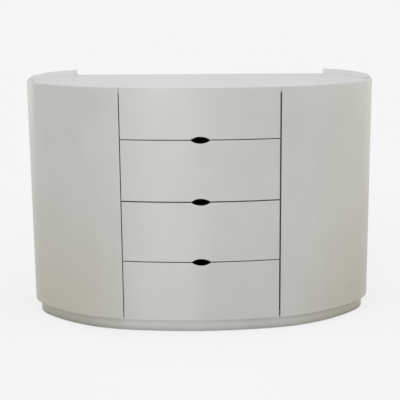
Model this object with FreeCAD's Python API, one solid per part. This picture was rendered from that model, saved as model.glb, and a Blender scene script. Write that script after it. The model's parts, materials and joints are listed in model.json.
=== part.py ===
import FreeCAD, Part
import math
import os

# Dresser with a bowed, oval front: four drawers in the middle, a curved door on each side.
# X runs to the right as seen from the front, the front faces -Y, and Z is up.
# The origin lies on the floor in the middle of the body's width and depth.
# All sizes are in millimetres, angles are in degrees.

Vector = FreeCAD.Vector

# Form of the body in plan and height
top_height = 900.0             # floor to the top surface
wing_rise = 19.5               # height of the wings above the top surface, at the back
wing_front_rise = 10.0         # the same where their front ramps end
wing_foot_rise = 1.0           # and where those ramps start, beside the doors
body_underside = 50.0          # floor to the lower edge of fronts, doors and shells
front_radius = 1730.0          # plan radius across the drawers
door_radius = 620.0            # plan radius of a door's long sweep
corner_radius = 150.0          # plan radius where a door turns to the side
corner_start = 43.2            # turn away from straight ahead at which that corner begins
bay_half_width = 284.5         # centre line to the line between drawers and door
rear_depth = 193.5             # widest line of the plan to the flat back
side_flat = 6.0                # straight part of each side, from the widest line back
rear_corner_radius = 190.0     # plan radius of the shells, from there to the flat back

# Boards
skin_thickness = 20.0          # doors, side shells and the thin ends of the drawer fronts
panel_thickness = 20.0         # top and bottom
partition_thickness = 18.0
back_thickness = 8.0
shelf_thickness = 18.0
front_reveal = 2.0             # air between the closed fronts and the edges behind them
edge_round = 1.0               # rounding of the outer edges of fronts and doors
wing_width = 43.0              # outer face to the foot of a wing's sloping inner side
wing_rim = 5.0                 # flat edge of a wing at the back
wing_ramp = 28.0               # length over which a wing's edge rises at the front
wing_let_in = 2.0              # how deep the wings are let into the top
wing_round = 2.0               # rounding of the wings' outer edges

# Gaps that show
front_seam = 3.0               # between one drawer front and the next
middle_seam = 4.0              # between the second and the third front
left_gap = 3.0                 # between the drawers and the left door
right_gap = 5.5                # between the drawers and the right door
hinge_gap = 2.5                # between a door and its side shell
hinge_setback = 3.0            # widest line of the plan back to the hinge axis

# Strips that close the upper ends of the gaps beside the drawers
strip_play = 0.5               # air on either side of a strip
strip_setback = 1.5            # outer face of the body to the front of a strip

# Drawers
top_front_height = 182.5       # the lower fronts share what is left of the body's height
lower_front_count = 3
wide_seam_index = 1            # the lower front with the wider seam above it, counted from 0
pull_width = 72.0
pull_height = 25.0
pull_flare = 10.0              # the cut-out widens by this much all round, from face to back
hollow_half_width = 140.0      # the finger hollow behind a front, either side of the middle
hollow_margin = 40.0           # wood left at a front's edge that has no pull
box_lift = 25.0                # lower edge of a front to the underside of its box
box_drop = 35.0                # upper edge of a lower front to the top of its box
top_box_clearance = 17.5       # top of the uppermost box to the top panel
box_length = 400.0
box_wall = 12.0
box_floor = 6.0
floor_lift = 10.0              # underside of a box to its floor
groove_depth = 6.0             # how far the floor reaches into the walls

# Drawer runners, each made of three nested channels
runner_width = 12.7
runner_length = 400.0
runner_height = 45.0
runner_setback = 4.0           # back of the fronts to the front end of the runners
runner_sheet = 1.2
runner_play = 0.5              # air between one channel and the next
runner_outer_depth = 9.0
runner_middle_depth = 8.8

# Door hinges
knuckle_radius = 3.0
hinge_pin_radius = 1.5
hinge_pin_play = 0.05
knuckle_length = 20.0
knuckle_count = 3              # two fixed ones and the moving one between them
knuckle_play = 0.3             # air between knuckles, and round them in the wood
hinge_axis_out = 0.5           # how far the axis stands outside the side face
leaf_width = 16.0
leaf_thickness = 1.5
hinge_inset = 100.0            # end of the door to the middle of the nearest hinge

# Push-to-open latches
latch_offset = 60.0            # gap line to the latch, across the cupboard
housing_width = 14.0
housing_height = 14.0
housing_length = 60.0
plunger_radius = 4.0
plunger_length = 40.0
plunger_reach = 14.0           # how far the plunger stands out of its housing
plunger_play = 0.3             # air round the plunger and ahead of it
plunger_hole_spare = 4.0       # room behind the plunger
strike_width = 20.0
strike_height = 24.0
strike_thickness = 5.0         # a magnet plate that the plunger's tip holds
strike_seat = 0.1              # the flat plate bridges the door's hollow face by this much

# Shelves
shelf_front_inset = 48.0       # outer face of a door to the front edge of its shelf
shelf_play = 1.0
shelf_pin_radius = 2.5
shelf_pin_grip = 9.0           # length in the wood, and again under the shelf
shelf_pin_margin = 60.0        # from the ends of the shelf
shelf_pin_turn = 135.0         # where the rear arc holds a pin, turned from straight ahead
shelf_side_pin_turn = 105.0    # and where it holds another, nearer the side

# Dowels that join the partitions to top and bottom
dowel_radius = 4.0
dowel_length = 30.0
dowel_depth_in_panel = 12.0    # how far a dowel stands in the top or bottom panel
dowel_margin = 50.0            # from the ends of a partition
dowel_count = 4

# Plinth
plinth_inset = 20.0            # outer face of the body to the face of the plinth
plinth_thickness = 18.0
glide_height = 2.0
glide_radius = 7.0
glide_door_turn = 30.0         # where a glide sits under a door, turned from straight ahead
glide_rail_share = 0.8         # place of the rear glides along the half length of the back rail

# Screws of the back panel
screw_head_radius = 4.0
screw_head_height = 2.5
screw_shank_radius = 1.75
screw_length = 30.0
screw_margin = 60.0
partition_screw_count = 5
base_screw_count = 7

overrun = 5.0                  # how far a cutting shape runs past the wood
touch = 0.01                   # a point this near to a face counts as lying on it


def ahead(degrees):
    """Unit vector in plan, turned from straight ahead (-Y) towards +X."""
    angle = math.radians(degrees)
    return Vector(math.sin(angle), -math.cos(angle), 0)


# Plan of the body, worked out from the radii
bay_turn = math.degrees(math.asin(bay_half_width / front_radius))
side_turn = 90.0
back_turn = 180.0
door_sweep_width = door_radius * (ahead(corner_start).x - ahead(bay_turn).x)
door_sweep_depth = door_radius * (ahead(corner_start).y - ahead(bay_turn).y)
half_width = bay_half_width + door_sweep_width + corner_radius * (1 - ahead(corner_start).x)
bay_depth = front_radius * (1 + ahead(bay_turn).y)
front_depth = bay_depth + door_sweep_depth - corner_radius * ahead(corner_start).y
depth = front_depth + rear_depth
back_y = depth / 2
front_y = -depth / 2
widest_y = back_y - rear_depth
front_centre = Vector(0, front_y + front_radius, 0)
door_centre = front_centre + ahead(bay_turn) * (front_radius - door_radius)
corner_centre = door_centre + ahead(corner_start) * (door_radius - corner_radius)
rear_centre = Vector(half_width - rear_corner_radius, widest_y + side_flat, 0)
wing_end_reach = math.sqrt(rear_corner_radius ** 2 - (back_y - rear_centre.y) ** 2)
wing_end_x = rear_centre.x + wing_end_reach

# Places that several pieces share
fronts_back_y = front_y + bay_depth + skin_thickness
carcass_front_y = fronts_back_y + front_reveal
hinge_y = widest_y + hinge_setback
door_end_y = hinge_y - hinge_gap / 2
shell_start_y = hinge_y + hinge_gap / 2
back_face_y = back_y - back_thickness
top_underside = top_height - panel_thickness
floor_top = body_underside + panel_thickness
partition_inner_x = bay_half_width - partition_thickness / 2
partition_outer_x = bay_half_width + partition_thickness / 2
box_half_width = partition_inner_x - runner_width
shelf_z = (floor_top + top_underside - shelf_thickness) / 2
hinge_axis_x = half_width + hinge_axis_out
hinge_half_length = knuckle_count * knuckle_length / 2
runner_start_y = fronts_back_y + runner_setback
sides = {"left": -1, "right": 1}
gaps = {"left": left_gap, "right": right_gap}

pieces = {}


def block(x0, x1, y0, y1, z0, z1):
    """Box between two corners, given in any order along X."""
    low = Vector(min(x0, x1), y0, z0)
    return Part.makeBox(abs(x1 - x0), y1 - y0, z1 - z0, low)


def cylinder(radius, start, end):
    way = end - start
    return Part.makeCylinder(radius, way.Length, start, way)


def mirrored(shape):
    return shape.mirror(Vector(0, 0, 0), Vector(1, 0, 0))


def on_side(shape, side):
    """The shape is drawn for the right side; the left one is its mirror image."""
    return shape if sides[side] > 0 else mirrored(shape)


def line(start, end):
    return Part.makeLine(start, end)


def arc(centre, radius, start_turn, end_turn):
    """Plan arc, its ends given as turns from straight ahead."""
    turns = (start_turn, (start_turn + end_turn) / 2, end_turn)
    return Part.Arc(*[centre + ahead(turn) * radius for turn in turns]).toShape()


def rear_turn(inset):
    """Turn at which the rear arc, set in by inset, reaches the line where the wings end."""
    return back_turn - math.degrees(math.asin(wing_end_reach / (rear_corner_radius - inset)))


def rear_point(inset):
    return rear_centre + ahead(rear_turn(inset)) * (rear_corner_radius - inset)


def right_edges(front_inset, side_inset, step_y):
    """Right part of the plan, from the end of the front arc to the start of the flat back.

    Ahead of step_y the outline lies inside the outer face by front_inset, behind it by side_inset.
    """
    front_x = half_width - front_inset
    side_x = half_width - side_inset
    edges = [
        arc(door_centre, door_radius - front_inset, bay_turn, corner_start),
        arc(corner_centre, corner_radius - front_inset, corner_start, side_turn),
        line(Vector(front_x, widest_y, 0), Vector(front_x, step_y, 0)),
    ]
    if side_inset != front_inset:
        edges.append(line(Vector(front_x, step_y, 0), Vector(side_x, step_y, 0)))
    edges.append(line(Vector(side_x, step_y, 0), Vector(side_x, rear_centre.y, 0)))
    edges.append(arc(rear_centre, rear_corner_radius - side_inset, side_turn, rear_turn(side_inset)))
    return edges


def plan_path(front_inset, side_inset, step_y):
    """Edges of the whole plan, from the left end of the flat back round the front to its right end."""
    right = right_edges(front_inset, side_inset, step_y)
    left = [mirrored(edge) for edge in reversed(right)]
    return left + [arc(front_centre, front_radius - front_inset, -bay_turn, bay_turn)] + right


def band(outer_inset, inner_inset, z0, z1):
    """Curved wall that follows the plan between two insets, open along the flat back."""
    outer = plan_path(outer_inset, outer_inset, hinge_y)
    inner = plan_path(inner_inset, inner_inset, hinge_y)
    right_end = line(rear_point(outer_inset), rear_point(inner_inset))
    wire = Part.Wire(outer + [right_end] + inner[::-1] + [mirrored(right_end)])
    wall = Part.Face(wire).extrude(Vector(0, 0, z1 - z0))
    wall.translate(Vector(0, 0, z0))
    return wall


def board(front_inset, side_inset, step_y, rear_y, z0, z1):
    """Flat board inside the plan; between the ends of the shells it runs back to rear_y."""
    rear = Vector(wing_end_x, rear_y, 0)
    right_end = line(rear_point(side_inset), rear)
    back_edge = line(rear, Vector(-rear.x, rear_y, 0))
    path = plan_path(front_inset, side_inset, step_y)
    wire = Part.Wire(path + [right_end, back_edge, mirrored(right_end)])
    plate = Part.Face(wire).extrude(Vector(0, 0, z1 - z0))
    plate.translate(Vector(0, 0, z0))
    return plate


def outer_edges(shape, fits):
    """Edges on the body's outer face for which fits(point) holds."""
    skin = Part.Wire(plan_path(0, 0, hinge_y))
    chosen = []
    for edge in shape.Edges:
        middle = edge.valueAt((edge.FirstParameter + edge.LastParameter) / 2)
        in_plan = Part.Vertex(middle.x, middle.y, 0)
        if in_plan.distToShape(skin)[0] < touch and fits(middle):
            chosen.append(edge)
    return chosen


def near(value, *targets):
    return any(abs(value - target) < touch for target in targets)


def lens_outline(y, z):
    """Pointed outline of a finger cut-out at depth y; it widens from the front's face inwards."""
    spread = pull_flare * (y - front_y) / skin_thickness
    half_width_here = pull_width / 2 + spread
    half_height_here = pull_height / 2 + spread
    left = Vector(-half_width_here, y, z)
    right = Vector(half_width_here, y, z)
    upper = Part.Arc(left, Vector(0, y, z + half_height_here), right).toShape()
    lower = Part.Arc(right, Vector(0, y, z - half_height_here), left).toShape()
    return Part.Wire([upper, lower])


def lens(z):
    """Finger cut-out, centred on the seam at height z, through the thin part of the fronts."""
    outlines = [lens_outline(front_y - overrun, z), lens_outline(front_y + skin_thickness + overrun, z)]
    return Part.makeLoft(outlines, True, True)


def drawer_levels():
    """Lower edge, upper edge and seam above it of each front, from the top drawer down."""
    top_front_z = top_height - top_front_height
    step = (top_front_z - body_underside) / lower_front_count
    levels = [(top_front_z, top_height, 0)]
    for index in range(lower_front_count):
        seam = middle_seam if index == wide_seam_index else front_seam
        low = top_front_z - (index + 1) * step
        levels.append((low, low + step - seam, seam))
    return levels


def drawer_front(z0, z1, seam_below, seam_above):
    """Front with a bowed face, a flat back, a finger hollow behind and half a lens at each seam."""
    slab = Part.makeCylinder(front_radius, z1 - z0, front_centre + Vector(0, 0, z0))
    left_x = -bay_half_width + left_gap / 2
    right_x = bay_half_width - right_gap / 2
    front = slab.common(block(left_x, right_x, front_y - overrun, fronts_back_y, z0, z1))
    front_edges = outer_edges(front, lambda point: True)
    front = front.makeFillet(edge_round, front_edges)
    hollow_z0 = z0 - overrun if seam_below else z0 + hollow_margin
    hollow_z1 = z1 + overrun if seam_above else z1 - hollow_margin
    hollow = Part.makeCylinder(front_radius - skin_thickness, hollow_z1 - hollow_z0,
                               front_centre + Vector(0, 0, hollow_z0))
    hollow_room = block(-hollow_half_width, hollow_half_width, front_y, fronts_back_y + overrun,
                        hollow_z0, hollow_z1)
    front = front.cut(hollow.common(hollow_room))
    if seam_below:
        front = front.cut(lens(z0 - seam_below / 2))
    if seam_above:
        front = front.cut(lens(z1 + seam_above / 2))
    return front


def drawer_box(name, z0, z1):
    """Four walls on a grooved floor, behind the front."""
    start_y = fronts_back_y
    end_y = start_y + box_length
    inner_x = box_half_width - box_wall
    floor_z = z0 + floor_lift
    floor = block(-inner_x - groove_depth, inner_x + groove_depth, start_y + box_wall - groove_depth,
                  end_y - box_wall + groove_depth, floor_z, floor_z + box_floor)
    side = block(inner_x, box_half_width, start_y, end_y, z0, z1)
    side = side.cut(floor)
    pieces[name + "_box_right"] = side
    pieces[name + "_box_left"] = mirrored(side)
    inner_front = block(-inner_x, inner_x, start_y, start_y + box_wall, z0, z1)
    pieces[name + "_box_front"] = inner_front.cut(floor)
    inner_back = block(-inner_x, inner_x, end_y - box_wall, end_y, z0, z1)
    pieces[name + "_box_back"] = inner_back.cut(floor)
    pieces[name + "_box_floor"] = floor


def channel(web_x, flange_x, half_height, z, outward):
    """Steel channel along Y: a web at web_x and two flanges that reach to flange_x."""
    web_far_x = web_x + outward * runner_sheet
    end_y = runner_start_y + runner_length
    web = block(web_x, web_far_x, runner_start_y, end_y, z - half_height, z + half_height)
    top = block(web_x, flange_x, runner_start_y, end_y, z + half_height - runner_sheet, z + half_height)
    bottom = block(web_x, flange_x, runner_start_y, end_y, z - half_height, z - half_height + runner_sheet)
    return web.fuse([top, bottom]).removeSplitter()


def runner(z):
    """The three channels of the right-hand runner: cabinet, middle and drawer member."""
    half_height = runner_height / 2
    shrink = runner_sheet + runner_play
    cabinet = channel(partition_inner_x, partition_inner_x - runner_outer_depth, half_height, z, -1)
    middle_x = partition_inner_x - shrink
    middle = channel(middle_x, middle_x - runner_middle_depth, half_height - shrink, z, -1)
    inner_reach_x = middle_x - shrink
    inner = channel(box_half_width, inner_reach_x, half_height - 2 * shrink, z, 1)
    return cabinet, middle, inner


def both_sides(shape):
    return Part.makeCompound([shape, mirrored(shape)])


def make_drawers():
    levels = drawer_levels()
    cabinet_members = []
    for index, (z0, z1, seam_above) in enumerate(levels):
        name = "drawer_" + str(index + 1)
        is_top = index == 0
        is_bottom = index == len(levels) - 1
        seam_below = 0 if is_bottom else levels[index + 1][2]
        pieces[name + "_front"] = drawer_front(z0, z1, seam_below, seam_above)
        box_z0 = z0 + box_lift
        box_z1 = top_underside - top_box_clearance if is_top else z1 - box_drop
        drawer_box(name, box_z0, box_z1)
        cabinet, middle, inner = runner((box_z0 + box_z1) / 2)
        cabinet_members += [cabinet, mirrored(cabinet)]
        pieces[name + "_runner_middle"] = both_sides(middle)
        pieces[name + "_runner_inner"] = both_sides(inner)
    pieces["runner_cabinet_members"] = Part.makeCompound(cabinet_members)


def make_boards():
    """Top, bottom, partitions and back."""
    bay_cut_x = partition_outer_x
    front_inset = skin_thickness + front_reveal
    bay_cut = block(-bay_cut_x, bay_cut_x, front_y, carcass_front_y, 0, top_height + overrun)
    top = board(front_inset, skin_thickness, shell_start_y, back_y, top_underside, top_height)
    pieces["top_panel"] = top.cut(bay_cut)
    bottom = board(front_inset, skin_thickness, shell_start_y, back_face_y, body_underside, floor_top)
    pieces["bottom_panel"] = bottom.cut(bay_cut)
    partition = block(partition_inner_x, partition_outer_x, carcass_front_y, back_face_y,
                      floor_top, top_underside)
    pieces["partition_right"] = partition
    pieces["partition_left"] = mirrored(partition)
    pieces["back_panel"] = block(-wing_end_x, wing_end_x, back_face_y, back_y,
                                 body_underside, top_underside)


def wing():
    """Rim of wedge section along the right side, its inner side sloping down to the top surface."""
    foot = Vector(half_width - wing_width, widest_y, top_height)
    low_foot = foot - Vector(0, 0, wing_let_in)
    low_base = low_foot + Vector(wing_width, 0, 0)
    crest = Vector(half_width, widest_y, top_height + wing_rise)
    rim = crest - Vector(wing_rim, 0, 0)
    section = Part.Face(Part.makePolygon([foot, low_foot, low_base, crest, rim, foot]))
    straight = section.extrude(Vector(0, side_flat, 0))
    section.translate(Vector(0, side_flat, 0))
    curved = section.revolve(rear_centre, Vector(0, 0, 1), side_turn)
    return straight.fuse(curved)


def shell_profile():
    """Side view of the right shell: a ramp at the front, then an edge that rises evenly to the back."""
    low_front = Vector(wing_end_x, shell_start_y, 0)
    low_back = Vector(wing_end_x, back_y + overrun, 0)
    slope = (wing_rise - wing_front_rise) / (back_y - shell_start_y - wing_ramp)
    high_back = low_back + Vector(0, 0, top_height + wing_rise + slope * overrun)
    ramp_end = low_front + Vector(0, wing_ramp, top_height + wing_front_rise)
    ramp_start = low_front + Vector(0, 0, top_height + wing_foot_rise)
    return Part.Face(Part.makePolygon([low_front, low_back, high_back, ramp_end, ramp_start, low_front]))


def side_shell():
    """Right side shell with its wing."""
    shell = band(0, skin_thickness, body_underside, top_height).fuse(wing()).removeSplitter()
    shell = shell.common(shell_profile().extrude(Vector(half_width, 0, 0)))
    rim_edges = outer_edges(shell, lambda point: point.z > top_height + touch)
    rim_edges = [edge for edge in rim_edges if edge.BoundBox.ZMin > top_height + touch]
    return shell.makeFillet(wing_round, rim_edges)


def door(gap):
    """Right door leaf, from the gap beside the drawers to the hinge."""
    start_x = bay_half_width + gap / 2
    leaf = band(0, skin_thickness, body_underside, top_height)
    keep = block(start_x, half_width + overrun, front_y - overrun, door_end_y, 0, top_height + overrun)
    leaf = leaf.common(keep)
    rounded = outer_edges(leaf, lambda point: near(point.z, body_underside, top_height)
                          or near(point.x, start_x) or near(point.y, door_end_y))
    return leaf.makeFillet(edge_round, rounded)


def hinge_heights():
    low = body_underside + hinge_inset
    high = top_height - hinge_inset
    return [low, (low + high) / 2, high]


def axis_cylinder(radius, z0, z1):
    """Cylinder round the right door's hinge axis."""
    return cylinder(radius, Vector(hinge_axis_x, hinge_y, z0), Vector(hinge_axis_x, hinge_y, z1))


def hinge_leaf(face_y, into_y, z, moving):
    """Leaf let into an end face at face_y, with the knuckles of the fixed or the moving half."""
    leaf_x = half_width - leaf_width
    clear_x = hinge_axis_x - knuckle_radius - knuckle_play
    low_y = min(face_y, face_y + into_y)
    high_y = max(face_y, face_y + into_y)
    bottom = z - hinge_half_length
    top = z + hinge_half_length
    shape = block(leaf_x, clear_x, low_y, high_y, bottom, top)
    half_knuckle = knuckle_length / 2
    middle_part = (z - half_knuckle + knuckle_play, z + half_knuckle - knuckle_play)
    end_parts = [(bottom, z - half_knuckle), (z + half_knuckle, top)]
    spans = [middle_part] if moving else end_parts
    bore = hinge_pin_radius + (hinge_pin_play if moving else 0)
    for z0, z1 in spans:
        tab = block(leaf_x, hinge_axis_x, low_y, high_y, z0, z1)
        shape = shape.fuse([tab, axis_cylinder(knuckle_radius, z0, z1)])
    shape = shape.removeSplitter()
    return shape.cut(axis_cylinder(bore, bottom - overrun, top + overrun))


def hinge_room(z):
    """Round recess in the wood for the knuckles of one hinge."""
    reach = hinge_half_length + knuckle_play
    return axis_cylinder(knuckle_radius + knuckle_play, z - reach, z + reach)


def leaf_mortise(face_y, into_y, z):
    """Shallow recess in an end face for a hinge leaf."""
    low_y = min(face_y, face_y + into_y)
    high_y = max(face_y, face_y + into_y)
    return block(half_width - leaf_width, half_width + overrun, low_y, high_y,
                 z - hinge_half_length, z + hinge_half_length)


def latch_frame(side):
    """Where the right latch meets the door: a point on the door's inner face, and the way out."""
    x = bay_half_width + latch_offset
    inner_radius = door_radius - skin_thickness
    turn = math.degrees(math.asin((x - door_centre.x) / inner_radius))
    return door_centre + ahead(turn) * inner_radius, turn


def latch_parts():
    """Strike plate, plunger and housing of the right latch, drawn along -Y and then turned."""
    meet, turn = latch_frame("right")
    z = top_underside - housing_height / 2
    strike_y = strike_seat
    strike = block(-strike_width / 2, strike_width / 2, strike_y, strike_y + strike_thickness,
                   z - strike_height / 2, z + strike_height / 2)
    strike = strike.common(block(-strike_width, strike_width, 0, plunger_length, 0,
                                 top_underside - front_reveal))
    tip_y = strike_y + strike_thickness + plunger_play
    plunger = cylinder(plunger_radius, Vector(0, tip_y, z), Vector(0, tip_y + plunger_length, z))
    housing_y = tip_y + plunger_reach
    housing = block(-housing_width / 2, housing_width / 2, housing_y, housing_y + housing_length,
                    z - housing_height / 2, z + housing_height / 2)
    hole_end = Vector(0, tip_y + plunger_length + plunger_hole_spare, z)
    hole = cylinder(plunger_radius + plunger_play, Vector(0, housing_y - overrun, z), hole_end)
    housing = housing.cut(hole)
    placed = []
    for shape in (strike, plunger, housing):
        shape.rotate(Vector(0, 0, 0), Vector(0, 0, 1), turn)
        shape.translate(meet)
        placed.append(shape)
    return placed


def shelf_pins():
    """Pins under the right shelf: two in the partition and two in the side shell."""
    z = shelf_z - shelf_pin_radius
    front_pin_y = carcass_front_y + shelf_pin_margin
    rear_pin_y = back_face_y - shelf_pin_margin
    face_x = partition_outer_x
    places = [
        (Vector(face_x, front_pin_y, 0), Vector(1, 0, 0), partition_thickness / 2),
        (Vector(face_x, rear_pin_y, 0), Vector(1, 0, 0), partition_thickness / 2),
    ]
    for turn in (shelf_side_pin_turn, shelf_pin_turn):
        face = rear_centre + ahead(turn) * (rear_corner_radius - skin_thickness)
        places.append((face, ahead(turn) * -1, shelf_pin_grip))
    pins = []
    for place, way, grip in places:
        start = place - way * grip + Vector(0, 0, z)
        end = place + way * shelf_pin_grip + Vector(0, 0, z)
        pins.append(cylinder(shelf_pin_radius, start, end))
    return pins


def make_shelves():
    side_inset = skin_thickness + shelf_play
    rear_y = back_face_y - shelf_play
    start_x = partition_outer_x + shelf_play
    step_y = shell_start_y + shelf_front_inset - skin_thickness
    front_plate = board(shelf_front_inset, shelf_front_inset, hinge_y, rear_y,
                        shelf_z, shelf_z + shelf_thickness)
    rear_plate = board(side_inset, side_inset, hinge_y, rear_y, shelf_z, shelf_z + shelf_thickness)
    front_plate = front_plate.common(block(start_x, half_width, front_y, step_y, 0, top_height))
    rear_plate = rear_plate.common(block(start_x, half_width, step_y, rear_y, 0, top_height))
    shelf = front_plate.fuse(rear_plate).removeSplitter()
    pins = shelf_pins()
    all_pins = []
    for side in sides:
        pieces["shelf_" + side] = on_side(shelf, side)
        side_pins = [on_side(pin, side) for pin in pins]
        all_pins += side_pins
        for carrier in ("partition_" + side, "side_shell_" + side):
            pieces[carrier] = pieces[carrier].cut(side_pins)
    pieces["shelf_pins"] = Part.makeCompound(all_pins)


def make_doors():
    """Doors and side shells with their hinges and latches."""
    fixed_leaves = []
    pins = []
    housings = []
    strike, plunger, housing = latch_parts()
    for side in sides:
        shell = side_shell()
        leaf = door(gaps[side])
        moving_leaves = []
        for z in hinge_heights():
            room = hinge_room(z)
            shell = shell.cut([leaf_mortise(shell_start_y, leaf_thickness, z), room])
            leaf = leaf.cut([leaf_mortise(door_end_y, -leaf_thickness, z), room])
            fixed_leaves.append(on_side(hinge_leaf(shell_start_y, leaf_thickness, z, False), side))
            moving_leaves.append(on_side(hinge_leaf(door_end_y, -leaf_thickness, z, True), side))
            pin = axis_cylinder(hinge_pin_radius, z - hinge_half_length, z + hinge_half_length)
            pins.append(on_side(pin, side))
        pieces["side_shell_" + side] = on_side(shell, side)
        pieces["top_panel"] = pieces["top_panel"].cut(pieces["side_shell_" + side])
        pieces["door_" + side] = on_side(leaf, side)
        pieces["door_" + side + "_hinge_leaves"] = Part.makeCompound(moving_leaves)
        pieces["door_" + side + "_strike"] = on_side(strike, side)
        pieces["latch_plunger_" + side] = on_side(plunger, side)
        housings.append(on_side(housing, side))
    pieces["hinge_leaves_fixed"] = Part.makeCompound(fixed_leaves)
    pieces["hinge_pins"] = Part.makeCompound(pins)
    pieces["latch_housings"] = Part.makeCompound(housings)


def make_gap_strips():
    """Strips on the front edge of the top that close the upper ends of the two gaps."""
    start_y = front_y + bay_depth + strip_setback
    strips = []
    for side, way in sides.items():
        strip_half_width = gaps[side] / 2 - strip_play
        middle_x = way * bay_half_width
        strips.append(block(middle_x - strip_half_width, middle_x + strip_half_width,
                            start_y, carcass_front_y, top_underside, top_height))
    pieces["gap_strips"] = Part.makeCompound(strips)


def make_plinth():
    inner_inset = plinth_inset + plinth_thickness
    pieces["plinth_band"] = band(plinth_inset, inner_inset, glide_height, body_underside)
    pieces["plinth_back_rail"] = block(-wing_end_x, wing_end_x, back_y - inner_inset,
                                       back_y - plinth_inset, glide_height, body_underside)
    middle_inset = plinth_inset + plinth_thickness / 2
    door_place = door_centre + ahead(glide_door_turn) * (door_radius - middle_inset)
    side_place = Vector(half_width - middle_inset, hinge_y, 0)
    rear_place = Vector(wing_end_x * glide_rail_share, back_y - middle_inset, 0)
    places = [Vector(0, front_y + middle_inset, 0)]
    for place in (door_place, side_place, rear_place):
        places += [place, Vector(-place.x, place.y, 0)]
    rise = Vector(0, 0, glide_height)
    glides = [cylinder(glide_radius, place, place + rise) for place in places]
    pieces["glides"] = Part.makeCompound(glides)


def make_dowels():
    """Dowels in a row along the upper and lower edge of each partition."""
    low_y = carcass_front_y + dowel_margin
    step = (back_face_y - dowel_margin - low_y) / (dowel_count - 1)
    top_dowels = []
    bottom_dowels = []
    for x in (bay_half_width, -bay_half_width):
        for index in range(dowel_count):
            y = low_y + index * step
            top_end = top_underside + dowel_depth_in_panel
            bottom_end = floor_top - dowel_depth_in_panel
            top_dowels.append(cylinder(dowel_radius, Vector(x, y, top_end - dowel_length),
                                       Vector(x, y, top_end)))
            bottom_dowels.append(cylinder(dowel_radius, Vector(x, y, bottom_end),
                                          Vector(x, y, bottom_end + dowel_length)))
    pieces["top_panel"] = pieces["top_panel"].cut(top_dowels)
    pieces["bottom_panel"] = pieces["bottom_panel"].cut(bottom_dowels)
    for side in sides:
        partition = "partition_" + side
        pieces[partition] = pieces[partition].cut(top_dowels + bottom_dowels)
    pieces["partition_dowels"] = Part.makeCompound(top_dowels + bottom_dowels)


def back_screw(x, z):
    """Countersunk screw, its head flush with the back."""
    head_y = back_y - screw_head_height
    head = Part.makeCone(screw_shank_radius, screw_head_radius, screw_head_height,
                         Vector(x, head_y, z), Vector(0, 1, 0))
    shank = cylinder(screw_shank_radius, Vector(x, back_y - screw_length, z), Vector(x, head_y, z))
    return head.fuse(shank).removeSplitter()


def make_screws():
    """Screws that hold the back panel to the partitions and to the bottom's rear edge."""
    partition_screws = []
    low = floor_top + screw_margin
    step = (top_underside - screw_margin - low) / (partition_screw_count - 1)
    for index in range(partition_screw_count):
        z = low + index * step
        partition_screws += [back_screw(bay_half_width, z), back_screw(-bay_half_width, z)]
    base_screws = []
    base_z = body_underside + panel_thickness / 2
    reach = wing_end_x - screw_margin
    for index in range(base_screw_count):
        x = -reach + 2 * reach * index / (base_screw_count - 1)
        base_screws.append(back_screw(x, base_z))
    screws = partition_screws + base_screws
    pieces["back_panel"] = pieces["back_panel"].cut(screws)
    pieces["bottom_panel"] = pieces["bottom_panel"].cut(base_screws)
    for side in sides:
        partition = "partition_" + side
        pieces[partition] = pieces[partition].cut(partition_screws)
    pieces["back_panel_screws"] = Part.makeCompound(screws)


def write_pieces():
    os.makedirs("parts", exist_ok=True)
    for name, shape in sorted(pieces.items()):
        shape.exportStep("parts/" + name + ".step")


make_boards()
make_doors()
make_shelves()
make_drawers()
make_gap_strips()
make_plinth()
make_dowels()
make_screws()
write_pieces()
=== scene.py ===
import json
import math

import bmesh
import bpy
from mathutils import Euler, Matrix, Vector


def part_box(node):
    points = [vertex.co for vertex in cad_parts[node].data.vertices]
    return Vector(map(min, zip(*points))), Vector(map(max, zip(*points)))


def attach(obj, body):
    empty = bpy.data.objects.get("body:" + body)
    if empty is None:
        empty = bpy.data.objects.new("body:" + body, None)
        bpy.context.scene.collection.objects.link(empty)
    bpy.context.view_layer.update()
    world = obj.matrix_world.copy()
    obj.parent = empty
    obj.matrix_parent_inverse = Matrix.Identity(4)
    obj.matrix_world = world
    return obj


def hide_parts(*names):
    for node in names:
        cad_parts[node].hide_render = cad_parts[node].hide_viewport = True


# Looks of the bow-fronted dresser. Lengths are in metres, and angles in degrees unless a name
# says otherwise. X runs to the right as seen from the front, the front faces -Y, and Z is up.
# A pair of values is a span, given by its two ends. Tones are 8-bit sRGB.

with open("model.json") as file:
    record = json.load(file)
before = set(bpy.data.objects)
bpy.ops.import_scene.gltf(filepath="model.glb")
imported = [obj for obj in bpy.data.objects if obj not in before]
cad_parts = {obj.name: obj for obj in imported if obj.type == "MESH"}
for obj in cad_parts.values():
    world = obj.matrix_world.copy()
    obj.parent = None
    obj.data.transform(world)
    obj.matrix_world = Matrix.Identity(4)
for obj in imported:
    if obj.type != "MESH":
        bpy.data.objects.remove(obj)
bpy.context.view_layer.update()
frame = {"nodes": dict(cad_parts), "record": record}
record = frame["record"]
nodes = frame["nodes"]
mm = 0.001

# Camera, found from the photograph of 400 by 400 pixels
picture_pixels = 400
focal_pixels = 802.8
axis_pixel_x = 228            # where the optical axis meets the picture
axis_pixel_y = 130
camera_place = Vector((0.0233, -3.0022, 1.2206))
camera_pitch = 9.643          # looks down
camera_yaw = 1.526            # looks to the right
camera_roll = -0.187
sensor_width_mm = 36.0

# The sRGB curve: a straight piece next to black and a power above it
channel_top = 255
straight_end = 0.04045
straight_slope = 12.92
curve_offset = 0.055
curve_power = 2.4

# Spans that recur
falling = (1.0, 0.0)
rising = (0.0, 1.0)
noise_core = (0.3, 0.7)       # noise runs from 0 to 1, but most of it lies in here
even = (1.0, 1.0, 1.0)        # stretch of noise that is alike in all directions

# Sockets of the Mix node that belong to colours
mix_factor, mix_first, mix_second, mix_result = 0, 6, 7, 2

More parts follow.
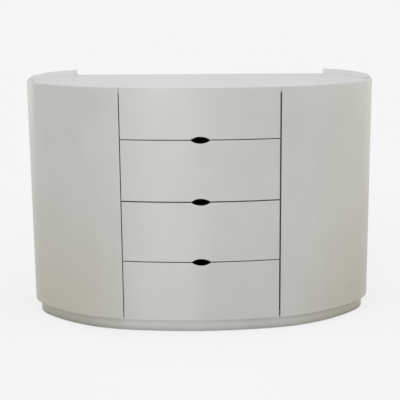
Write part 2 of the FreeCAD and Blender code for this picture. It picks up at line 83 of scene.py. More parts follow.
# Tone zones of the lacquer: creamier and darker low down and at the sides, a painted highlight left
# of the middle and painted light on the wings; their tones, largest shares, and the zones where
# they show
zone_drift = (-0.05, 0.05)    # how far noise moves a zone's rim
tone_zone_size = 0.3
cream_tone = (190, 188, 178)
cream_share = 0.75
cream_middle_x = 0.085
cream_off_middle = (0.28, 0.50)
cream_height = (0.02, 0.62)
painted_light_tone = (212, 213, 212)
painted_light_share = 0.75
painted_highlight_middle_x = -0.13
painted_highlight_off_middle = (0.03, 0.20)
painted_highlight_height = (0.30, 0.80)
painted_highlight_height_shares = (1.0, 0.4)
wing_foot_height = (0.898, 0.906)
painted_wing_light_share = 0.6

# Painted shade: the plinth darker away from this place, towards its sides
side_shade_middle_x = -0.12
side_shade_off_middle = (0.03, 0.38)
side_shade_noise_size = 0.12

# Painted shade in the gaps between fronts, doors and top, and in inner corners
painted_shade_tone = (34, 33, 30)
gap_shade_share = 0.9
corner_shade_share = 0.12
shade_reach = 12.0 * mm
gap_open_shares = (0.25, 0.62)          # of the sky that a point sees within the reach
corner_open_shares = (0.5, 0.9)
shade_fade_off_middle = (0.40, 0.55)     # towards the sides, painted shade falls to a share over this span
shade_fade_share = 0.3
gap_lit_end_height = (0.874, 0.884)       # less painted shade at the gaps' upper ends, where light falls in from above
gap_lit_end_share = 0.25

# Rims of small marks: their raggedness, and the share of the half size where they start to fade
ragged_size = 4.0 * mm
ragged_depth = (-0.25, 0.25)
mark_rim = (0.55, 1.0)

# Rays for the worn edges and the grime, and how far a worn edge's normal turns (as a cosine)
ray_count = 6
edge_turn = (0.72, 0.99)


def srgb(red, green, blue):
    """Linear colour, with alpha, of an 8-bit sRGB colour."""
    linear = []
    for channel in (red, green, blue):
        share = channel / channel_top
        if share <= straight_end:
            linear.append(share / straight_slope)
        else:
            linear.append(((share + curve_offset) / (1 + curve_offset)) ** curve_power)
    return (*linear, 1.0)


def relit(colour, factor, lift=0.0):
    """A linear colour made lighter or darker, with no channel above 1."""
    return (*(min(1.0, channel * factor + lift) for channel in colour[:3]), 1.0)


def stretched(axis, factor):
    """Stretch of noise that runs along X, Y or Z."""
    return tuple(factor if name == axis else 1.0 for name in "XYZ")


class Finish:
    """A material under construction: a Principled BSDF and the nodes that feed it."""

    def __init__(self, name):
        self.material = bpy.data.materials.new(name)
        self.material.use_nodes = True
        self.tree = self.material.node_tree
        self.tree.nodes.clear()
        output = self.tree.nodes.new("ShaderNodeOutputMaterial")
        self.shader = self.tree.nodes.new("ShaderNodeBsdfPrincipled")
        self.tree.links.new(self.shader.outputs[0], output.inputs["Surface"])
        self.place = self.tree.nodes.new("ShaderNodeTexCoord").outputs["Object"]

    def feed(self, socket, value):
        """Links the socket to another one, or sets it to a plain value."""
        if isinstance(value, bpy.types.NodeSocket):
            self.tree.links.new(value, socket)
        else:
            socket.default_value = value

    def add(self, kind, inputs, **settings):
        """New node with its inputs fed and its settings made."""
        made = self.tree.nodes.new("ShaderNode" + kind)
        for key, value in settings.items():
            setattr(made, key, value)
        for key, value in inputs.items():
            self.feed(made.inputs[key], value)
        return made

    def set(self, **values):
        """Inputs of the Principled BSDF, with underscores for the spaces in their names."""
        for key, value in values.items():
            self.feed(self.shader.inputs[key.replace("_", " ")], value)

    def noise(self, size, detail=3.0, roughness=0.55, stretch=even):
        """Noise from 0 to 1, its features about size across, longer where stretch is above 1."""
        scale = [1 / (size * factor) for factor in stretch]
        mapped = self.add("Mapping", {"Vector": self.place, "Scale": scale}).outputs[0]
        inputs = {"Vector": mapped, "Scale": 1.0, "Detail": detail, "Roughness": roughness}
        return self.add("TexNoise", inputs).outputs[0]

    def remap(self, value, span, onto=rising, smooth=False):
        """Lays the value's span onto another one, and holds what lies beyond at its ends."""
        inputs = {"Value": value, "From Min": span[0], "From Max": span[1],
                  "To Min": onto[0], "To Max": onto[1]}
        kind = "SMOOTHSTEP" if smooth else "LINEAR"
        return self.add("MapRange", inputs, interpolation_type=kind).outputs[0]

    def mix(self, factor, first, second, blend="MIX"):
        """Colour from the first at factor 0 to the second at factor 1."""
        made = self.add("Mix", {}, data_type="RGBA", blend_type=blend)
        self.feed(made.inputs[mix_factor], factor)
        self.feed(made.inputs[mix_first], first)
        self.feed(made.inputs[mix_second], second)
        return made.outputs[mix_result]

    def math(self, operation, first, second=0.0):
        return self.add("Math", {0: first, 1: second}, operation=operation).outputs[0]

    def vector(self, operation, *values):
        return self.add("VectorMath", dict(enumerate(values)), operation=operation).outputs

    def split(self, vector):
        """The X, Y and Z of a vector."""
        return self.add("SeparateXYZ", {0: vector}).outputs

    def off_middle(self, along, middle):
        """Distance to the left or right of a middle."""
        return self.math("ABSOLUTE", self.math("SUBTRACT", along, middle))

    def cream_and_painted_light(self, colour):
        """Creamier and darker low down and at the sides; painted highlight left of the middle and
        painted light on the wings.
        """
        place = self.split(self.place)
        drift = self.remap(self.noise(tone_zone_size, detail=2.0), noise_core, zone_drift)
        height = self.math("ADD", place["Z"], drift)
        sideways = self.math("ADD", self.off_middle(place["X"], cream_middle_x), drift)
        low = self.remap(height, cream_height, falling, smooth=True)
        outer = self.remap(sideways, cream_off_middle, smooth=True)
        creamy = self.math("MULTIPLY", self.math("MULTIPLY", low, outer), cream_share)
        colour = self.mix(creamy, colour, srgb(*cream_tone))
        # Painted highlight left of the middle, fading upwards, and painted light on the wings
        sideways = self.off_middle(self.math("ADD", place["X"], drift), painted_highlight_middle_x)
        pale = self.remap(sideways, painted_highlight_off_middle, falling, smooth=True)
        pale = self.math("MULTIPLY", pale, self.remap(height, painted_highlight_height, painted_highlight_height_shares))
        wing = self.remap(place["Z"], wing_foot_height, (0.0, painted_wing_light_share))
        pale = self.math("MULTIPLY", self.math("MAXIMUM", pale, wing), painted_light_share)
        return self.mix(pale, colour, srgb(*painted_light_tone))

    def painted_side_shade(self, colour, share):
        """Painted shade: darker by up to the share, away from the given place."""
        drift = self.remap(self.noise(side_shade_noise_size), noise_core, zone_drift)
        along = self.math("ADD", self.split(self.place)["X"], drift)
        away = self.off_middle(along, side_shade_middle_x)
        level = self.remap(away, side_shade_off_middle, (1.0, 1.0 - share), smooth=True)
        return self.mix(1.0, colour, level, blend="MULTIPLY")

    def spot(self, place, half_size):
        """From 1 in the middle of a small mark to 0 outside it, its rim ragged."""
        away = self.vector("SUBTRACT", self.place, place)[0]
        away = self.vector("DIVIDE", away, half_size)[0]
        length = self.vector("LENGTH", away)["Value"]
        rim = self.remap(self.noise(ragged_size), noise_core, ragged_depth)
        return self.remap(self.math("ADD", length, rim), mark_rim, falling, smooth=True)

    def bump(self, height, depth, normal=None):
        """Bump whose height from 0 to 1 stands for the depth, laid over another normal if given."""
        inputs = {"Height": height, "Strength": 1.0, "Distance": depth}
        if normal is not None:
            inputs["Normal"] = normal
        return self.add("Bump", inputs).outputs[0]

    def edges(self, radius):
        """From 0 on open faces to 1 on edges, which wear first."""
        rounded = self.add("Bevel", {"Radius": radius}, samples=ray_count).outputs[0]
        normal = self.add("NewGeometry", {}).outputs["Normal"]
        likeness = self.vector("DOT_PRODUCT", rounded, normal)["Value"]
        return self.remap(likeness, edge_turn, falling)

    def painted_crevice_shade(self, reach, deep, corner):
        """Share of painted shade: none on open faces, up to corner in an inner corner, deep in a
        gap.
        """
        sky = self.add("AmbientOcclusion", {"Distance": reach}, samples=ray_count).outputs["AO"]
        place = self.split(self.place)
        # Less painted shade towards the sides
        sideways = self.math("ABSOLUTE", place["X"])
        gap = self.remap(sideways, shade_fade_off_middle, (deep, shade_fade_share * deep))
        # Less painted shade at the gaps' upper ends, where light falls in from above
        kept = self.remap(place["Z"], gap_lit_end_height, (1.0, gap_lit_end_share))
        gap = self.math("MULTIPLY", gap, kept)
        gap = self.math("MULTIPLY", gap, self.remap(sky, gap_open_shares, falling))
        return self.math("MAXIMUM", gap, self.remap(sky, corner_open_shares, (corner, 0.0)))


def lacquer(name, colour, shade, marks=(), gap_shade=gap_shade_share, corner=corner_shade_share,
            spread=shade_reach, side_shade=0.0):
    """Sprayed lacquer: soft clouds, orange peel, uneven gloss, paler edges and handling marks, a
    painted highlight and painted light on the wings, and painted shade in gaps and inner corners.
    """
    patch_levels = (0.985, 1.012)
    grain_span, grain_levels = (0.25, 0.75), (0.992, 1.006)
    wear_span, wear_shares = (0.35, 0.75), (0.1, 0.5)
    smear_span, roughness = (0.3, 0.75), (0.45, 0.56)
    worn_edge, worn_factor = 1.2 * mm, 1.12
    peel_depth, wave_depth = 0.010 * mm, 0.22 * mm
    finish = Finish(name)
    clouds = finish.noise(size=0.32, roughness=0.45)
    patches = finish.noise(size=0.11, detail=2.0, stretch=stretched("Z", 1.6))
    grain = finish.noise(size=1.6 * mm, detail=2.0)
    cloudy = finish.remap(clouds, noise_core, smooth=True)
    body = finish.mix(cloudy, srgb(*colour), srgb(*shade))
    patchy = finish.remap(patches, noise_core, patch_levels, smooth=True)
    level = finish.math("MULTIPLY", patchy, finish.remap(grain, grain_span, grain_levels))
    body = finish.mix(1.0, body, level, blend="MULTIPLY")
    wear = finish.remap(finish.noise(size=0.02), wear_span, wear_shares)
    rubbed = finish.math("MULTIPLY", finish.edges(worn_edge), wear)
    body = finish.mix(rubbed, body, relit(srgb(*colour), worn_factor))
    # Creamier and darker low down and at the sides; painted highlight left of the middle and
    # painted light on the wings
    body = finish.cream_and_painted_light(body)
    for place, half_size, tone, share in marks:
        covered = finish.math("MULTIPLY", finish.spot(place, half_size), share)
        body = finish.mix(covered, body, srgb(*tone))
    # Painted shade: darker towards the sides, away from a given place
    if side_shade:
        body = finish.painted_side_shade(body, side_shade)
    # Painted shade: dark deep in gaps and faintly in inner corners
    body = finish.mix(finish.painted_crevice_shade(spread, gap_shade, corner), body, srgb(*painted_shade_tone))
    smears = finish.noise(size=0.09, detail=4.0, stretch=stretched("Z", 2.2))
    peel = finish.noise(size=4.5 * mm, detail=1.0)
    waves = finish.noise(size=0.16, detail=1.0)
    normal = finish.bump(waves, wave_depth, finish.bump(peel, peel_depth))
    finish.set(Base_Color=body, Roughness=finish.remap(smears, smear_span, roughness))
    finish.set(Normal=normal, IOR=1.45, Sheen_Weight=0.12, Sheen_Roughness=0.35)
    finish.set(Coat_Weight=0.12, Coat_Roughness=0.3, Coat_IOR=1.5, Coat_Normal=normal)
    return finish.material


def melamine(name, colour, gap_shade=0.0):
    """Matt board facing with a fine even grain, a little dust and, if asked, painted shade in gaps.
    """
    dust_span, dust_shares = (0.35, 0.7), (0.0, 0.6)
    dull_factor = 0.93
    worn_edge, worn_share, worn_tone = 0.8 * mm, 0.5, (236, 235, 231)
    roughness = (0.42, 0.6)
    pore_depth = 0.03 * mm
    finish = Finish(name)
    dust = finish.noise(size=0.15, detail=5.0)
    pores = finish.noise(size=0.8 * mm, detail=2.0)
    dusty = finish.remap(dust, dust_span, dust_shares)
    body = finish.mix(dusty, srgb(*colour), relit(srgb(*colour), dull_factor))
    rubbed = finish.math("MULTIPLY", finish.edges(worn_edge), worn_share)
    body = finish.mix(rubbed, body, srgb(*worn_tone))
    # Painted shade in narrow gaps
    if gap_shade:
        body = finish.mix(finish.painted_crevice_shade(shade_reach, gap_shade, 0.0), body, srgb(*painted_shade_tone))
    finish.set(Base_Color=body, Roughness=finish.remap(dust, noise_core, roughness))
    finish.set(Normal=finish.bump(pores, pore_depth), IOR=1.45)
    return finish.material


def timber(name, pale, dark, along, layers=None):
    """Birch or beech: grain along one axis, and plywood layers where their axis is given."""
    tone_part, tone_span = 0.55, (0.35, 0.75)
    layer_depth, layer_rim, layer_tone = 1.4 * mm, (-0.25, 0.25), (152, 118, 82)
    layer_grain_span, layer_grain_shares = (0.3, 0.8), (0.0, 0.5)
    face_cosine = 0.7
    roughness = (0.42, 0.58)
    fibre_depth = 0.06 * mm
    finish = Finish(name)
    fibres = finish.noise(2.2 * mm, detail=4.0, roughness=0.6, stretch=stretched(along, 22.0))
    figure = finish.noise(size=0.03, stretch=stretched(along, 9.0))
    tone = finish.math("ADD", finish.math("MULTIPLY", fibres, tone_part),
                       finish.math("MULTIPLY", figure, tone_part))
    body = finish.mix(finish.remap(tone, tone_span), srgb(*pale), srgb(*dark))
    if layers:
        across = finish.split(finish.place)[layers]
        wave = finish.math("SINE", finish.math("MULTIPLY", across, math.pi / layer_depth))
        stripe = finish.remap(wave, layer_rim, smooth=True)
        layered = finish.mix(stripe, srgb(*pale), srgb(*layer_tone))
        streaks = finish.remap(fibres, layer_grain_span, layer_grain_shares)
        layered = finish.mix(streaks, layered, srgb(*dark))
        normal = finish.add("NewGeometry", {}).outputs["True Normal"]
        facing = finish.math("ABSOLUTE", finish.split(normal)[layers])
        is_face = finish.math("GREATER_THAN", facing, face_cosine)
        body = finish.mix(is_face, layered, body)
    finish.set(Base_Color=body, Roughness=finish.remap(fibres, noise_core, roughness))
    finish.set(Normal=finish.bump(fibres, fibre_depth), IOR=1.48)
    return finish.material


def sheet_board(name, colour, speck):
    """Thin faced board: faint paper mottling and fibre specks."""
    mottle_span, mottle_shares = (0.3, 0.75), (0.0, 0.45)
    fibre_span, fibre_shares = (0.62, 0.8), (0.0, 0.35)
    roughness = (0.5, 0.68)
    fibre_depth = 0.03 * mm
    finish = Finish(name)
    mottle = finish.noise(size=0.09, detail=6.0, roughness=0.65)
    fibre = finish.noise(size=3.0 * mm, stretch=stretched("X", 5.0))
    mottled = finish.remap(mottle, mottle_span, mottle_shares, smooth=True)
    body = finish.mix(mottled, srgb(*colour), srgb(*speck))
    body = finish.mix(finish.remap(fibre, fibre_span, fibre_shares), body, srgb(*speck))
    finish.set(Base_Color=body, Roughness=finish.remap(mottle, noise_core, roughness))
    finish.set(Normal=finish.bump(fibre, fibre_depth), IOR=1.45)
    return finish.material


def steel(name, colour, roughness, along="Y"):
    """Plated steel: rolling lines along one axis, spangle and light smudges."""
    dull_factor, spangle_shares = 0.78, (0.0, 0.55)
    line_roughness, smudge_roughness = (0.0, 0.1), (roughness, roughness + 0.12)
    line_depth = 0.01 * mm
    finish = Finish(name)
    lines = finish.noise(size=0.7 * mm, detail=2.0, stretch=stretched(along, 40.0))
    spangle = finish.noise(size=0.012, detail=2.0)
    smudge = finish.noise(size=0.04, detail=4.0)
    dulled = finish.remap(spangle, noise_core, spangle_shares)
    body = finish.mix(dulled, srgb(*colour), relit(srgb(*colour), dull_factor))
    rough = finish.math("ADD", finish.remap(lines, noise_core, line_roughness),
                        finish.remap(smudge, noise_core, smudge_roughness))
    finish.set(Base_Color=body, Metallic=1.0, Roughness=rough)
    finish.set(Normal=finish.bump(lines, line_depth))
    return finish.material


def plastic(name, colour, roughness):
    """Moulded plastic with a fine spark-eroded grain and rubbed edges."""
    pale_factor, pale_lift, cloud_shares = 1.5, 0.02, (0.0, 0.12)
    worn_edge, worn_share = 0.4 * mm, 0.4
    cloud_roughness = (roughness, roughness + 0.1)
    grain_depth = 0.02 * mm
    finish = Finish(name)
    grain = finish.noise(size=0.6 * mm, detail=2.0)
    clouds = finish.noise(size=0.02)
    pale = relit(srgb(*colour), pale_factor, pale_lift)
    body = finish.mix(finish.remap(clouds, noise_core, cloud_shares), srgb(*colour), pale)
    rubbed = finish.math("MULTIPLY", finish.edges(worn_edge), worn_share)
    body = finish.mix(rubbed, body, pale)
    finish.set(Base_Color=body, Roughness=finish.remap(clouds, noise_core, cloud_roughness))
    finish.set(Normal=finish.bump(grain, grain_depth), IOR=1.5)
    return finish.material


# Marks on the doors: place, half size, tone and its share
scuff_half_size = (0.014, 0.02, 0.0012)
smudge_half_size = (0.014, 0.020, 0.016)
left_door_marks = (
    (Vector((-0.372, -0.198, 0.499)), scuff_half_size, (176, 176, 170), 0.6),
    (Vector((-0.353, -0.204, 0.275)), scuff_half_size, (172, 172, 166), 0.6),
)
right_door_marks = (
    (Vector((0.564, -0.097, 0.1235)), smudge_half_size, (166, 165, 152), 0.28),
)

# Tones of the finishes: the main one first, then the one that it varies towards
lacquer_tones = ((203, 204, 203), (199, 200, 199))
plinth_tones = ((221, 221, 221), (216, 216, 215))
board_tone = (222, 221, 217)
birch_tones = ((214, 184, 142), (186, 148, 102))
beech_tones = ((208, 170, 128), (184, 142, 98))
drawer_floor_tones = ((216, 214, 208), (202, 199, 191))
back_board_tones = ((212, 210, 203), (196, 192, 183))
# Painted shadow: a dark band along the plinth's top, under the body's overhang
plinth_corner_shade = 0.45
plinth_shade_reach = 26.0 * mm
# Painted shade: the plinth darker towards its sides
plinth_side_shade = 0.15
# Wider reach of painted shade in the right door's hinge gap
right_gap_shade_reach = 24.0 * mm

# A finish for each material slot, and those of single nodes
finishes = {
    "lacquer": lacquer("lacquer", *lacquer_tones),
    "plinth_lacquer": lacquer("plinth_lacquer", *plinth_tones, corner=plinth_corner_shade,
                              spread=plinth_shade_reach, side_shade=plinth_side_shade),
    "interior_board": melamine("interior_board", board_tone),
    "dowel_beech": timber("dowel_beech", *beech_tones, along="Z"),
    "drawer_box": timber("drawer_box_side", *birch_tones, along="Y", layers="X"),
    "drawer_floor": sheet_board("drawer_floor", *drawer_floor_tones),
    "back_board": sheet_board("back_board", *back_board_tones),
    "runner_steel": steel("runner_steel", (190, 192, 194), roughness=0.26),
    "hinge_steel": steel("hinge_steel", (196, 195, 192), roughness=0.24, along="Z"),
    "fastener_steel": steel("fastener_steel", (158, 155, 146), roughness=0.34, along="Z"),
    "latch_plastic": plastic("latch_plastic", (150, 152, 154), roughness=0.38),
    "glide_plastic": plastic("glide_plastic", (52, 50, 48), roughness=0.45),
}
birch_end = timber("drawer_box_end", *birch_tones, along="X", layers="Y")
# The partitions' edges get painted shade where they show in the gaps
partition_board = melamine("partition_board", board_tone, gap_shade=gap_shade_share)
own_finishes = {
    "partition_left": partition_board,
    "partition_right": partition_board,
    "gap_strips": lacquer("lacquer_gap_strips", *lacquer_tones, gap_shade=0.0, corner=0.0),
    "door_left": lacquer("lacquer_left_door", *lacquer_tones, marks=left_door_marks),
    "door_right": lacquer("lacquer_right_door", *lacquer_tones, marks=right_door_marks,
                          spread=right_gap_shade_reach),
}
for node_name in nodes:
    if node_name.endswith(("_box_front", "_box_back")):
        own_finishes[node_name] = birch_end


def dress_nodes():
    """Every node gets its own finish, or that of its slot."""
    for part in record["subparts"]:
        node = nodes[part["node"]]
        finish = own_finishes.get(part["node"], finishes[part["material_slot"]])
        for material_slot in node.material_slots:
            material_slot.material = finish


# Shape of a screw's head: its turned outline and its cross recess, as shares of the radius
# unless a name says otherwise
screw_sides = 40
head_steps = 14
rim_cone_share = 0.1          # of the cone's depth, the height of the head's rim
recess_arm_share = 0.62
recess_half_width_share = 0.17
recess_depth_share = 0.4
recess_wall_share = 0.35      # of the recess's half width, its sloping wall
recess_end_share = 0.3        # of the recess's arm, its sloping end
turn_step_radians = 0.9       # from one screw's recess to the next one's


def lathe_rings(profile, sides):
    """Points of a shape turned about Z. The profile lists radius and height, from the top down."""
    rings = []
    for radius, height in profile:
        ring = []
        for index in range(sides):
            turn = 2 * math.pi * index / sides
            ring.append(Vector((radius * math.cos(turn), radius * math.sin(turn), height)))
        rings.append(ring)
    return rings


def cross_sink(point, radius):
    """How far the cross recess lowers a point of a screw's head."""
    arm = recess_arm_share * radius
    half_width = recess_half_width_share * radius
    along = max(abs(point.x), abs(point.y))
    across = min(abs(point.x), abs(point.y))
    inside = max(0.0, min(1.0, (half_width - across) / (recess_wall_share * half_width)))
    reach = max(0.0, min(1.0, (arm - along) / (recess_end_share * arm)))
    return recess_depth_share * radius * inside * reach


def screw_profile(radius, dome, cone, shank_radius, length):
    """Countersunk screw: a slightly domed head, a cone below it and a shank."""
    profile = []
    for index in range(1, head_steps + 1):
        share = index / head_steps
        profile.append((radius * share, dome * (1 - share ** 2)))
    profile.append((radius, -rim_cone_share * cone))
    profile.append((shank_radius, -cone))
    profile.append((shank_radius, -length))
    return profile


def add_screws(name, places, body, slot, radius, dome, cone, shank_radius, length):
    """Screws with a cross recess, each given by the middle of its head and the way it faces."""
    profile = screw_profile(radius, dome, cone, shank_radius, length)
    head_middle = Vector((0.0, 0.0, dome - recess_depth_share * radius))
    tip_middle = Vector((0.0, 0.0, -length))
    shape = bmesh.new()
    for number, (place, way) in enumerate(places):
        turn = Matrix.Rotation(turn_step_radians * number, 4, "Z")
        facing = Vector(way).to_track_quat("Z", "Y").to_matrix().to_4x4()
        pose = Matrix.Translation(place) @ facing @ turn
        rings = lathe_rings(profile, screw_sides)
        for ring in rings[:head_steps]:
            for point in ring:
                point.z -= cross_sink(point, radius)
        top = shape.verts.new(pose @ head_middle)
        bottom = shape.verts.new(pose @ tip_middle)
        made = [[shape.verts.new(pose @ point) for point in ring] for ring in rings]
        for index in range(screw_sides):
            after = (index + 1) % screw_sides
            shape.faces.new((top, made[0][index], made[0][after]))
            shape.faces.new((bottom, made[-1][after], made[-1][index]))
            for upper, lower in zip(made, made[1:]):
                shape.faces.new((upper[index], lower[index], lower[after], upper[after]))
    mesh = bpy.data.meshes.new(name)
    shape.to_mesh(mesh)
    shape.free()
    mesh.materials.append(finishes[slot])
    for face in mesh.polygons:
        face.use_smooth = True
    piece = bpy.data.objects.new(name, mesh)
    bpy.context.scene.collection.objects.link(piece)
    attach(piece, body)
    return piece


def joint_place(name):
    """Where the axis of a joint lies."""
    joints = record["behaviour"]["joints"]
    return Vector(next(joint["pos_m"] for joint in joints if joint["name"] == name))


# Screws of the hinges, three in each leaf
hinge_heights = (0.150, 0.475, 0.800)
hinge_screw_lifts = (-22.0 * mm, 22.0 * mm, 0.0)
leaf_gap = 2.5 * mm
leaf_inward = 10.5 * mm       # from the hinge's axis to the screws
hinge_screw = dict(radius=2.4 * mm, dome=0.25 * mm, cone=1.3 * mm, shank_radius=1.2 * mm,
                   length=9.0 * mm)

# Screws of the runners, as shares of the runner's length, and those of the fronts
runner_screw_shares = (0.09, 0.5, 0.91)
front_screw_xs = (-0.18, -0.06, 0.06, 0.18)
web_thickness = 1.2 * mm
flat_screw = dict(radius=3.2 * mm, dome=0.9 * mm, cone=1.6 * mm, shank_radius=1.4 * mm,
                  length=10.0 * mm)

# Screws of the back panel
side_screw_count = 5
base_screw_count = 7
corner_margin = 60.0 * mm
base_margin = 10.0 * mm
back_screw = dict(radius=4.0 * mm, dome=0.0, cone=2.5 * mm, shank_radius=1.75 * mm,
                  length=30.0 * mm)


def add_hinge_screws():
    """Three screws in each hinge leaf, let into the end faces of shell and door."""
    fixed_places = []
    for side, way in (("left", -1), ("right", 1)):
        axis = joint_place(f"door_{side}_hinge")
        x = axis.x - way * leaf_inward
        moving_places = []
        for height in hinge_heights:
            for lift in hinge_screw_lifts:
                z = height + lift
                fixed_places.append((Vector((x, axis.y + leaf_gap / 2, z)), (0, -1, 0)))
                moving_places.append((Vector((x, axis.y - leaf_gap / 2, z)), (0, 1, 0)))
        add_screws(f"hinge_screws_door_{side}", moving_places, f"door_{side}", "fastener_steel",
                   **hinge_screw)
    add_screws("hinge_screws_shells", fixed_places, "carcass", "fastener_steel", **hinge_screw)


def add_runner_screws():
    """Screws that hold each drawer member to its box, and the front to the box."""
    for number in (1, 2, 3, 4):
        low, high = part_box(f"drawer_{number}_runner_inner")
        wall_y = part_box(f"drawer_{number}_box_front")[1].y
        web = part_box(f"drawer_{number}_box_right")[1].x + web_thickness
        middle = (low.z + high.z) / 2
        places = []
        for share in runner_screw_shares:
            y = low.y + share * (high.y - low.y)
            places.append((Vector((web, y, middle)), (1, 0, 0)))
            places.append((Vector((-web, y, middle)), (-1, 0, 0)))
        for x in front_screw_xs:
            places.append((Vector((x, wall_y, middle)), (0, 1, 0)))
        add_screws(f"drawer_{number}_screws", places, f"drawer_{number}", "fastener_steel",
                   **flat_screw)


def evenly(low, high, count):
    """Places from low to high, both included."""
    return [low + (high - low) * index / (count - 1) for index in range(count)]


def add_back_screws():
    """The back panel's countersunk screws, flush with its face."""
    low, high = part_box("back_panel")
    partition_low, partition_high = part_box("partition_right")
    bay_line = (partition_low.x + partition_high.x) / 2
    reach = high.x - corner_margin
    places = []
    heights = evenly(partition_low.z + corner_margin, partition_high.z - corner_margin,
                     side_screw_count)
    for z in heights:
        places += [(Vector((way * bay_line, high.y, z)), (0, 1, 0)) for way in (-1, 1)]
    for x in evenly(-reach, reach, base_screw_count):
        places.append((Vector((x, high.y, low.z + base_margin)), (0, 1, 0)))
    screws = add_screws("back_screws", places, "carcass", "fastener_steel", **back_screw)
    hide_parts("back_panel_screws")


def set_camera():
    camera = bpy.data.objects.new("camera", bpy.data.cameras.new("camera"))
    bpy.context.scene.collection.objects.link(camera)
    camera.location = camera_place
    aim = Euler((math.radians(90 - camera_pitch), 0, math.radians(-camera_yaw))).to_matrix()
    aim = aim @ Matrix.Rotation(math.radians(camera_roll), 3, "Z")
    camera.rotation_euler = aim.to_euler()
    camera.data.sensor_width = sensor_width_mm
    camera.data.lens = focal_pixels / picture_pixels * sensor_width_mm
    camera.data.shift_x = (picture_pixels / 2 - axis_pixel_x) / picture_pixels
    camera.data.shift_y = (axis_pixel_y - picture_pixels / 2) / picture_pixels
    bpy.context.scene.camera = camera


# Backdrop and floor. The open floor gets floor_light of a white sheet's full brightness.
backdrop = srgb(246, 246, 246)
world_colour = (1.0, 0.99, 0.88, 1.0)
world_strength = 0.25
floor_half_size = 14.0
floor_colour = srgb(206, 202, 188)
floor_light = 0.94
shadow_share = 0.16
shadow_fade = (0.7, 2.4)      # distance from the middle over which the shadow fades

# Lamps: name, azimuth (0 before the front, 90 to the right), elevation, distance, width and
# height, power in watts, colour
lamp_aim = Vector((0.0, 0.0, 0.45))
lamps = (
    ("key_low", -12, 6, 4.0, (1.0, 1.4), 57, (0.92, 0.95, 1.0)),
    ("overhead", -10, 78, 2.8, (2.4, 2.4), 47, (0.94, 0.95, 1.0)),
    ("side_left", -80, 16, 4.0, (2.0, 2.4), 9, (1.0, 0.96, 0.90)),
    ("side_right", 80, 16, 4.0, (2.0, 2.4), 40, (1.0, 0.99, 0.94)),
    ("back_fill", 180, 0, 4.2, (3.2, 0.8), 26, (1.0, 0.99, 0.96)),
    ("edge_left", -115, 12, 3.6, (0.8, 2.2), 27, (1.0, 1.0, 1.0)),
    ("edge_right", 115, 12, 3.6, (0.8, 2.2), 16, (1.0, 1.0, 1.0)),
)


def seen_directly(tree):
    """1 for rays from the camera and for those that a mirror or glass passes on, else 0."""
    path = tree.nodes.new("ShaderNodeLightPath")
    total = path.outputs["Is Camera Ray"]
    for name in ("Is Glossy Ray", "Is Transmission Ray"):
        added = tree.nodes.new("ShaderNodeMath")
        added.operation = "MAXIMUM"
        tree.links.new(total, added.inputs[0])
        tree.links.new(path.outputs[name], added.inputs[1])
        total = added.outputs[0]
    return total


def shader(tree, kind, input_name, value):
    """A shader node with one of its inputs set."""
    made = tree.nodes.new("ShaderNode" + kind)
    made.inputs[input_name].default_value = value
    return made


def mixed(tree, factor, first, second):
    """Shader from the first node at factor 0 to the second at factor 1."""
    made = tree.nodes.new("ShaderNodeMixShader")
    tree.links.new(factor, made.inputs[0])
    tree.links.new(first.outputs[0], made.inputs[1])
    tree.links.new(second.outputs[0], made.inputs[2])
    return made


def set_world():
    """Soft light from all around, and the plain backdrop where it is seen directly."""
    world = bpy.data.worlds.new("studio")
    bpy.context.scene.world = world
    world.use_nodes = True
    tree = world.node_tree
    tree.nodes.clear()
    light = shader(tree, "Background", "Color", world_colour)
    light.inputs["Strength"].default_value = world_strength
    shown = shader(tree, "Background", "Color", backdrop)
    mix = mixed(tree, seen_directly(tree), light, shown)
    output = tree.nodes.new("ShaderNodeOutputWorld")
    tree.links.new(mix.outputs[0], output.inputs["Surface"])


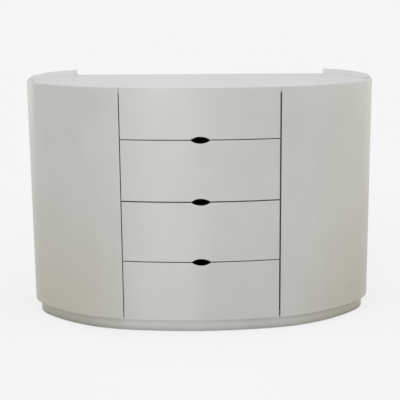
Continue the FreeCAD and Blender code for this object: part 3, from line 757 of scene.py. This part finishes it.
def make_floor():
    """Pale floor. Seen directly it has the backdrop's tone, less the body's soft shadow."""
    mesh = bpy.data.meshes.new("floor")
    unit_corners = ((-1, -1), (1, -1), (1, 1), (-1, 1))
    corners = [(x * floor_half_size, y * floor_half_size, 0.0) for x, y in unit_corners]
    mesh.from_pydata(corners, [], [(0, 1, 2, 3)])
    floor = bpy.data.objects.new("floor", mesh)
    bpy.context.scene.collection.objects.link(floor)
    material = bpy.data.materials.new("floor")
    material.use_nodes = True
    tree = material.node_tree
    tree.nodes.clear()
    bounce = shader(tree, "BsdfDiffuse", "Color", floor_colour)
    glow = shader(tree, "Emission", "Color", backdrop)
    paper = shader(tree, "BsdfDiffuse", "Color", relit(backdrop, 1 / floor_light))
    away = tree.nodes.new("ShaderNodeVectorMath")
    away.operation = "LENGTH"
    tree.links.new(tree.nodes.new("ShaderNodeTexCoord").outputs["Object"], away.inputs[0])
    fade = shader(tree, "MapRange", "From Min", shadow_fade[0])
    fade.interpolation_type = "SMOOTHSTEP"
    fade.inputs["From Max"].default_value = shadow_fade[1]
    fade.inputs["To Min"].default_value = shadow_share
    fade.inputs["To Max"].default_value = 0.0
    tree.links.new(away.outputs["Value"], fade.inputs["Value"])
    shown = mixed(tree, fade.outputs[0], glow, paper)
    mix = mixed(tree, seen_directly(tree), bounce, shown)
    output = tree.nodes.new("ShaderNodeOutputMaterial")
    tree.links.new(mix.outputs[0], output.inputs["Surface"])
    mesh.materials.append(material)


def add_softbox(name, azimuth, elevation, distance, size, power, colour):
    """Area lamp that faces the middle of the body and isn't seen itself."""
    lamp = bpy.data.lights.new(name, "AREA")
    lamp.shape = "RECTANGLE"
    lamp.size, lamp.size_y = size
    lamp.energy = power
    lamp.color = colour
    box = bpy.data.objects.new(name, lamp)
    turn = math.radians(azimuth)
    rise = math.radians(elevation)
    towards = Vector((math.sin(turn) * math.cos(rise), -math.cos(turn) * math.cos(rise),
                      math.sin(rise)))
    box.location = lamp_aim + towards * distance
    box.rotation_euler = towards.to_track_quat("Z", "Y").to_euler()
    box.visible_camera = False
    bpy.context.scene.collection.objects.link(box)


def set_stage():
    bpy.context.scene.view_settings.view_transform = "Standard"
    set_world()
    make_floor()
    for lamp in lamps:
        add_softbox(*lamp)


dress_nodes()
add_hinge_screws()
add_runner_screws()
add_back_screws()
set_camera()
set_stage()
